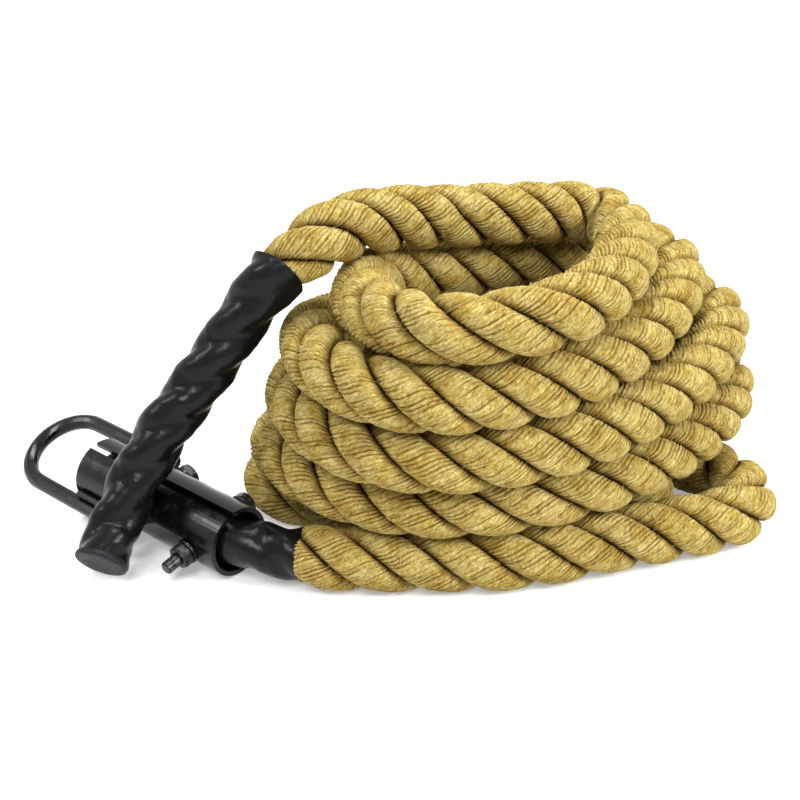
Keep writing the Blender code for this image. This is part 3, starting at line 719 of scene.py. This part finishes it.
def add_end_fold(name, line, sleeve, material):
    """The film drawn together over the rope's cut end: a shallow dome with folds towards its middle.

    A fold's height is the sum of three sines of the place round the dome.
    """
    along, up, side = directions(line[:3])
    outer = sleeve.free_diameter / 2 - sleeve.wall / 2
    middle = line[0] + END_OFFSETS[0] * side[0] + END_OFFSETS[1] * up[0]
    psi = math.tau * np.arange(END_COLUMNS) / END_COLUMNS
    folds = 0.25 * np.sin(9 * psi + 0.6) + 0.2 * np.sin(5 * psi) + 0.12 * np.sin(14 * psi + 2.0)
    back = np.array(END_RING_DEPTHS)[:, None] + END_FOLD * np.outer(END_FOLD_SHARES, folds)
    rows = middle + outer * np.array(END_RING_SHARES)[:, None, None] * turned(psi, up[0], side[0])
    return add_surface(name, rows + back[..., None] * along[0], material)


def add_node(tree, kind, inputs=None, **settings):
    """A node with its settings and inputs; an input is a socket to link or a plain value."""
    node = tree.nodes.new(kind)
    for key, value in settings.items():
        setattr(node, key, value)
    for key, value in (inputs or {}).items():
        if isinstance(value, bpy.types.NodeSocket):
            tree.links.new(value, node.inputs[key])
        else:
            node.inputs[key].default_value = value
    return node


def calculate(tree, operation, *values):
    node = add_node(tree, "ShaderNodeMath", dict(enumerate(values)), operation=operation)
    return node.outputs[0]


def total(tree, *terms):
    """Sum of two terms, each a value or a pair of a value and what it is multiplied by."""
    return calculate(tree, "ADD", *(
        calculate(tree, "MULTIPLY", *term) if isinstance(term, tuple) else term for term in terms))


def noise(tree, place, scale, detail, roughness=0.5):
    node = add_node(tree, "ShaderNodeTexNoise",
                    {"Vector": place, "Scale": scale, "Detail": detail, "Roughness": roughness})
    return node.outputs["Fac"]


def flat_place(tree, x, y):
    return add_node(tree, "ShaderNodeCombineXYZ", {0: x, 1: y}).outputs[0]


def object_place(tree):
    return add_node(tree, "ShaderNodeTexCoord").outputs["Object"]


def seen_rays(tree):
    """1 for rays that show a surface, which are the camera's, reflected and passed on; 0 for others."""
    rays = add_node(tree, "ShaderNodeLightPath").outputs
    passed = calculate(tree, "MAXIMUM", rays["Is Glossy Ray"], rays["Is Transmission Ray"])
    return calculate(tree, "MAXIMUM", rays["Is Camera Ray"], passed)


def blend(tree, share, first, second, kind="MIX"):
    node = add_node(tree, "ShaderNodeMix", {0: share, 6: first, 7: second},
                    data_type="RGBA", blend_type=kind)
    return node.outputs[2]


def ramp(tree, value, stops):
    """A colour ramp through (position, grey) or (position, colour) stops."""
    node = add_node(tree, "ShaderNodeValToRGB", {"Fac": value})
    elements = node.color_ramp.elements
    while len(elements) < len(stops):
        elements.new(0.5)
    for element, (place, colour) in zip(elements, stops):
        element.position = place
        element.color = (colour, colour, colour, 1.0) if isinstance(colour, float) else (*colour, 1.0)
    return node.outputs["Color"]


def spun_fibre_group():
    """Twisted fibres on a yarn: streaks that slant across it, broken from one yarn to the next."""
    group = bpy.data.node_groups.new("spun_fibre", "ShaderNodeTree")
    for side, kind, labels in (
            ("INPUT", "NodeSocketVector", ("UV",)),
            ("INPUT", "NodeSocketColor", ("Light", "Dark", "Fleck")),
            ("OUTPUT", "NodeSocketColor", ("Color",)),
            ("OUTPUT", "NodeSocketFloat", ("Height",))):
        for label in labels:
            group.interface.new_socket(label, in_out=side, socket_type=kind)
    given = group.nodes.new("NodeGroupInput")
    result = group.nodes.new("NodeGroupOutput")
    parts = add_node(group, "ShaderNodeSeparateXYZ", {0: given.outputs["UV"]})
    along, yarn = parts.outputs[0], parts.outputs[1]
    whole = calculate(group, "FLOOR", yarn)
    own = calculate(group, "MULTIPLY", whole, 13.7)
    slanting = flat_place(group, total(group, (along, 260.0), own),
                          total(group, (yarn, 8.0), (along, 1400.0)))
    streak = noise(group, slanting, 1.0, 4.0, 0.65)
    broad = flat_place(group, total(group, (along, 420.0), own),
                       total(group, (yarn, 1.7), (along, 160.0)))
    tuft = noise(group, broad, 1.0, 3.0, 0.6)
    patch = noise(group, flat_place(group, total(group, (along, 60.0), own), whole), 1.0, 2.0)
    fine = total(group, (streak, 0.4), (tuft, 0.6))
    grey = ramp(group, total(group, (fine, 0.8), (patch, 0.2)), [(0.40, 0.0), (0.62, 1.0)])
    plain = blend(group, grey, given.outputs["Dark"], given.outputs["Light"])
    across = flat_place(group, calculate(group, "MULTIPLY", along, 330.0),
                        calculate(group, "MULTIPLY", yarn, 1.1))
    mask = ramp(group, noise(group, across, 1.0, 1.0), [(0.70, 0.0), (0.76, 1.0)])
    group.links.new(blend(group, mask, plain, given.outputs["Fleck"]), result.inputs["Color"])
    group.links.new(fine, result.inputs["Height"])
    return group


def new_material(name, roughness, metallic=0.0, specular=0.5):
    material = bpy.data.materials.new(name)
    material.use_nodes = True
    shader = material.node_tree.nodes["Principled BSDF"]
    shader.inputs["Roughness"].default_value = roughness
    shader.inputs["Metallic"].default_value = metallic
    shader.inputs["Specular IOR Level"].default_value = specular
    return material, material.node_tree, shader


def finish_surface(tree, shader, colour, rough=None, bump=None):
    """Links a shader's colour, roughness and bump; bump is its strength, distance and height."""
    tree.links.new(colour, shader.inputs["Base Color"])
    if rough is not None:
        tree.links.new(rough, shader.inputs["Roughness"])
    if bump is not None:
        node = add_node(tree, "ShaderNodeBump", dict(zip(("Strength", "Distance", "Height"), bump)))
        tree.links.new(node.outputs[0], shader.inputs["Normal"])


def jute_material(look):
    """Jute yarn: fibre streaks, yarns of slightly different tone, painted shade in the seams between the
    strands and in the grooves between the yarns.

    The fibres' colour is multiplied by each tint in turn.
    """
    material, tree, shader = new_material("jute", 0.8, specular=0.12)
    uv = add_node(tree, "ShaderNodeUVMap", uv_map="surface").outputs[0]
    fibre = add_node(tree, "ShaderNodeGroup", {
        "UV": uv,
        "Light": (*look.jute, 1.0),
        "Dark": (*look.jute_shade, 1.0),
        "Fleck": (0.42, 0.17, 0.035, 1.0),
    }, node_tree=bpy.data.node_groups["spun_fibre"])
    # Attribute with the painted seam shade, the yarn crests for painted groove shade, and each yarn's own
    # tone
    painted_shade_and_tone = add_node(tree, "ShaderNodeAttribute", attribute_name="painted_shade_and_tone").outputs["Color"]
    clear_of_seam_shade, crest, tone = add_node(tree, "ShaderNodeSeparateColor", {0: painted_shade_and_tone}).outputs
    place = object_place(tree)
    white = (1.0, 1.0, 1.0)
    tints = (
        (noise(tree, place, 75.0, 5.0, 0.6),
         [(0.34, (0.80, 0.68, 0.42)), (0.50, (1.0, 0.98, 0.90)), (0.68, (1.10, 1.12, 1.30))]),
        (noise(tree, place, 850.0, 2.0),
         [(0.32, (0.76, 0.71, 0.64)), (0.52, white), (0.70, (1.14, 1.14, 1.16))]),
        (tone,
         [(0.0, (0.86, 0.84, 0.78)), (1.0, white)]),
        # Painted shade in the grooves between yarns, and a touch of painted light on their crests
        (crest,
         [(0.0, (0.27, 0.20, 0.12)), (0.40, (0.66, 0.57, 0.43)), (0.75, (0.96, 0.94, 0.90)),
          (1.0, (1.04, 1.04, 1.03))]),
        # Painted shade in the seams between strands, near black at the bottom of a seam
        (clear_of_seam_shade,
         [(0.0, (0.02, 0.015, 0.008)), (0.20, (0.10, 0.07, 0.03)), (0.50, (0.62, 0.54, 0.42)),
          (0.85, white)]),
    )
    colour = fibre.outputs["Color"]
    for share, stops in tints:
        colour = blend(tree, 1.0, colour, ramp(tree, share, stops), "MULTIPLY")
    finish_surface(tree, shader, colour, bump=(0.8, 0.0008, fibre.outputs["Height"]))
    return material


def loose_fibre_material(look):
    """Single fibres: paler straw here, browner there."""
    material, tree, shader = new_material("loose_fibre", 0.7, specular=0.3)
    pale = tuple(min(1.0, 1.08 * c) for c in look.jute)
    brown = tuple(0.55 * c for c in look.jute)
    share = noise(tree, object_place(tree), 260.0, 2.0)
    finish_surface(tree, shader, ramp(tree, share, [(0.38, brown), (0.62, pale)]))
    return material


def film_material(sleeve):
    """Shrunk black film: glossy, with faint ripples and duller patches."""
    material, tree, shader = new_material("shrink_film", 0.2, specular=0.15)
    place = object_place(tree)
    broad = noise(tree, place, 90.0, 3.0)
    fine = noise(tree, place, 420.0, 2.0)
    colour = blend(tree, fine, (*sleeve.film, 1.0), (0.006, 0.006, 0.007, 1.0))
    rough = ramp(tree, broad, [(0.3, 0.20), (0.7, 0.32)])
    finish_surface(tree, shader, colour, rough, (0.5, 0.0012, total(tree, broad, (fine, 0.2))))
    return material


def end_fold_material(sleeve):
    """The film where it is drawn over the cut end: duller and greyer than on the sides."""
    material, tree, shader = new_material("shrink_film_end", 0.5, specular=0.15)
    grain = noise(tree, object_place(tree), 500.0, 4.0)
    film = (*(5 * c for c in sleeve.film), 1.0)
    colour = blend(tree, grain, film, (0.011, 0.012, 0.015, 1.0))
    rough = ramp(tree, grain, [(0.3, 0.38), (0.7, 0.6)])
    finish_surface(tree, shader, colour, rough, (0.4, 0.0005, grain))
    return material


def paint_material(clamp):
    """Black gloss paint on steel: orange peel, and small dull scuffs."""
    material, tree, shader = new_material("clamp_paint", 0.15, specular=0.3)
    place = object_place(tree)
    peel = noise(tree, place, 900.0, 1.0)
    scuff = noise(tree, place, 130.0, 6.0)
    mask = ramp(tree, scuff, [(0.6, 0.0), (0.75, 1.0)])
    colour = blend(tree, mask, (*clamp.paint, 1.0), (0.014, 0.014, 0.015, 1.0))
    rough = ramp(tree, scuff, [(0.45, 0.18), (0.72, 0.38)])
    finish_surface(tree, shader, colour, rough, (0.12, 0.0004, peel))
    return material


def steel_material(clamp):
    """Blackened steel of the bolts, nuts and washers, rubbed brighter in places."""
    material, tree, shader = new_material("fastener_steel", 0.4, metallic=0.85)
    rub = noise(tree, object_place(tree), 380.0, 5.0)
    mask = ramp(tree, rub, [(0.42, 0.0), (0.68, 1.0)])
    colour = blend(tree, mask, (*clamp.steel, 1.0), (0.075, 0.07, 0.066, 1.0))
    rough = ramp(tree, rub, [(0.3, 0.30), (0.8, 0.52)])
    finish_surface(tree, shader, colour, rough, (0.2, 0.0003, rub))
    return material


def floor_material(stage):
    """Pale floor that keeps the shadow, lifted to white for the camera and in reflections.

    Its glow is the share of seen rays times a share that grows with the distance from the middle.
    """
    material, tree, shader = new_material("floor", 0.9, specular=0.0)
    place = object_place(tree)
    paler = tuple(min(1.0, c * 1.01) for c in stage.floor) + (1.0,)
    finish_surface(tree, shader, blend(tree, noise(tree, place, 40.0, 2.0), (*stage.floor, 1.0), paler))
    away = add_node(tree, "ShaderNodeVectorMath", {0: place}, operation="LENGTH").outputs["Value"]
    far = add_node(tree, "ShaderNodeMapRange", {"Value": away, "From Min": 0.5, "From Max": 2.0,
                                                "To Min": 0.35, "To Max": 1.0}).outputs[0]
    glow = calculate(tree, "MULTIPLY", seen_rays(tree), far)
    lit = add_node(tree, "ShaderNodeCombineColor", {0: glow, 1: glow, 2: glow})
    tree.links.new(lit.outputs[0], shader.inputs["Emission Color"])
    shader.inputs["Emission Strength"].default_value = 1.0
    return material


def white_world():
    """White for the camera and in reflections, and soft even light for the rest."""
    world = bpy.data.worlds.new("studio")
    bpy.context.scene.world = world
    world.use_nodes = True
    tree = world.node_tree
    background = tree.nodes["Background"]
    background.inputs["Color"].default_value = (1.0, 1.0, 1.0, 1.0)
    strength = total(tree, WORLD_LIGHT, (seen_rays(tree), 1 - WORLD_LIGHT))
    tree.links.new(strength, background.inputs["Strength"])


def add_floor(stage):
    """A square of flat cells, just below the lowest piece."""
    steps = np.linspace(-FLOOR_REACH, FLOOR_REACH, FLOOR_CELLS + 1)
    across, deep = np.meshgrid(steps, steps)
    corners = np.stack([across, deep, np.full_like(across, -FLOOR_DROP)], -1).reshape(-1, 3)
    i, j = np.divmod(np.arange(FLOOR_CELLS ** 2), FLOOR_CELLS)
    first = i * (FLOOR_CELLS + 1) + j
    quads = first[:, None] + np.array([0, 1, FLOOR_CELLS + 2, FLOOR_CELLS + 1])
    mesh = bpy.data.meshes.new("floor")
    mesh.from_pydata(corners.tolist(), [], quads.tolist())
    mesh.materials.append(floor_material(stage))
    add_object("floor", mesh)


def aim(item, place, target):
    """Turns a lamp or the camera so that it looks from place to target."""
    ahead = unit(np.subtract(target, place))
    side = unit(np.cross(ahead, [0.0, 0.0, 1.0]))
    up = np.cross(side, ahead)
    matrix = np.eye(4)
    matrix[:3, :3] = np.stack([side, up, -ahead], 1)
    matrix[:3, 3] = place
    item.matrix_world = Matrix(matrix.tolist())


class ROPE_OT_stage(bpy.types.Operator):
    """Camera, lamps, world and floor"""
    bl_idname = "rope.stage"
    bl_label = "Stage"

    def execute(self, context):
        look = context.scene.rope_stage
        camera = add_object("camera", bpy.data.cameras.new("camera"))
        back = np.array([0.0, -math.cos(look.camera_height), math.sin(look.camera_height)])
        aim(camera, np.array(AIM_POINT) + look.camera_distance * back, AIM_POINT)
        camera.data.sensor_width = 36.0
        camera.data.lens = CAMERA_LENS
        camera.data.clip_end = 100.0
        context.scene.camera = camera
        for name, place, size, watts in LAMPS:
            lamp = bpy.data.lights.new(name, "AREA")
            lamp.size = size
            lamp.energy = watts
            aim(add_object(name, lamp), place, AIM_POINT)
        white_world()
        add_floor(look)
        context.scene.view_settings.view_transform = "Standard"
        return {"FINISHED"}


# The rope's stretches: name, the marks between which it lies, and the CAD node that it replaces
STRETCHES = (
    ("free_tail", "rope_end", "coil_start", "rope_free_tail"),
    ("upper_coil", "coil_start", "coil_middle", "rope_coil"),
    ("lower_coil", "coil_middle", "coil_end", "rope_coil"),
    ("clamp_tail", "coil_end", "held_end", "rope_clamp_tail"),
)


class ROPE_OT_strands(bpy.types.Operator):
    """The three strands of the rope, in four stretches from the free end to the clamp"""
    bl_idname = "rope.strands"
    bl_label = "Strands"

    def execute(self, context):
        look = context.scene.rope_look
        sleeve = context.scene.rope_sleeves
        spun_fibre_group()
        material = jute_material(look)
        loose = loose_fibre_material(look)
        line, marks = rope_line(look.diameter)
        marks["rope_end"] = CUT_END
        marks["coil_middle"] = (marks["coil_start"] + marks["coil_end"]) / 2
        bare = (marks["rim"] + FIBRE_MARGIN, marks["edge"] - FIBRE_MARGIN)
        for number, (name, start, end, node) in enumerate(STRETCHES):
            count = round((marks[end] - marks[start]) / look.step) + 1
            distance = np.linspace(marks[start], marks[end], count)
            path = at_distances(line, distance)
            size = squeeze(distance, marks, look, sleeve)
            strands = []
            for strand in range(STRANDS):
                rng = np.random.default_rng(strand)
                points, uv, colours = strand_points(
                    path, distance, math.tau * strand / STRANDS, size, look, rng)
                strands.append(add_surface(f"{name}_strand_{strand + 1}", points, material,
                                           uv=uv, colours=colours))
            rng = np.random.default_rng(FIBRE_SEED + number)
            fuzz = add_fibres(f"{name}_fibres", path, distance, bare, size, look, rng, loose)
            for piece in (*strands, fuzz):
                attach(piece, "root")
                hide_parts(node)
        return {"FINISHED"}


class ROPE_OT_sleeves(bpy.types.Operator):
    """The long sleeve on the free end and the short one that goes into the clamp"""
    bl_idname = "rope.sleeves"
    bl_label = "Shrink sleeves"

    def execute(self, context):
        look = context.scene.rope_look
        sleeve = context.scene.rope_sleeves
        material = film_material(sleeve)
        line, marks = rope_line(look.diameter)
        distance = np.linspace(0.0, marks["rim"], FREE_SLEEVE_STATIONS)
        flare = rim_share(distance)
        radius = sleeve.free_diameter / 2 + RIM_FLARE * flare ** 2
        relief = sleeve.relief * (1 - RIM_SMOOTHING * flare)
        cover = add_sleeve("free_sleeve", line, distance, radius, relief, look, sleeve, material,
                           slant=SLANT_TOWARD)
        plug = add_end_fold("free_sleeve_end", line, sleeve, end_fold_material(sleeve))
        distance = np.linspace(marks["edge"], marks["held_end"], CLAMP_SLEEVE_STATIONS)
        places = [marks[key] for key in ("edge", "mouth", "neck", "held_end")]
        radius = np.interp(distance, places, CLAMP_SLEEVE_RADII)
        relief = np.interp(distance, places[:2], [sleeve.relief, sleeve.relief / 3])
        held = add_sleeve("clamp_sleeve", line, distance, radius, relief, look, sleeve, material)
        for piece, node in ((cover, "free_end_sleeve"), (plug, "free_end_sleeve"),
                            (held, "clamp_end_sleeve")):
            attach(piece, "root")
            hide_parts(node)
        return {"FINISHED"}


class ROPE_OT_clamp(bpy.types.Operator):
    """Finishes of the clamp tube, its bail and its fasteners"""
    bl_idname = "rope.clamp"
    bl_label = "Hanging clamp"

    def execute(self, context):
        look = context.scene.rope_clamp
        finishes = (
            (paint_material(look), ("clamp_tube", "hanging_bail", "weld")),
            (steel_material(look), ("bolt", "nut", "washer")),
        )
        for name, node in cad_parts.items():
            for material, beginnings in finishes:
                if name.startswith(beginnings):
                    node.data.materials.clear()
                    node.data.materials.append(material)
        return {"FINISHED"}


class ROPE_PT_panel(bpy.types.Panel):
    """Lists the pieces and their settings"""
    bl_label = "Climbing rope"
    bl_idname = "ROPE_PT_panel"
    bl_space_type = "VIEW_3D"
    bl_region_type = "UI"
    bl_category = "Rope"

    def draw(self, context):
        for settings in ("rope_look", "rope_sleeves", "rope_clamp", "rope_stage"):
            group = getattr(context.scene, settings)
            box = self.layout.box()
            for key in group.__annotations__:
                box.prop(group, key)
        for operator in OPERATORS:
            self.layout.operator(operator.bl_idname)


SETTINGS = {
    "rope_look": RopeLook,
    "rope_sleeves": SleeveLook,
    "rope_clamp": ClampLook,
    "rope_stage": StageLook,
}
OPERATORS = (ROPE_OT_stage, ROPE_OT_strands, ROPE_OT_sleeves, ROPE_OT_clamp)


def register():
    for kind in (*SETTINGS.values(), *OPERATORS, ROPE_PT_panel):
        bpy.utils.register_class(kind)
    for name, kind in SETTINGS.items():
        setattr(bpy.types.Scene, name, bpy.props.PointerProperty(type=kind))


def unregister():
    for name in SETTINGS:
        delattr(bpy.types.Scene, name)
    for kind in (ROPE_PT_panel, *reversed(OPERATORS), *reversed(SETTINGS.values())):
        bpy.utils.unregister_class(kind)


def main():
    register()
    bpy.ops.rope.stage()
    bpy.ops.rope.strands()
    bpy.ops.rope.sleeves()
    bpy.ops.rope.clamp()


if __name__ == "__main__":
    main()
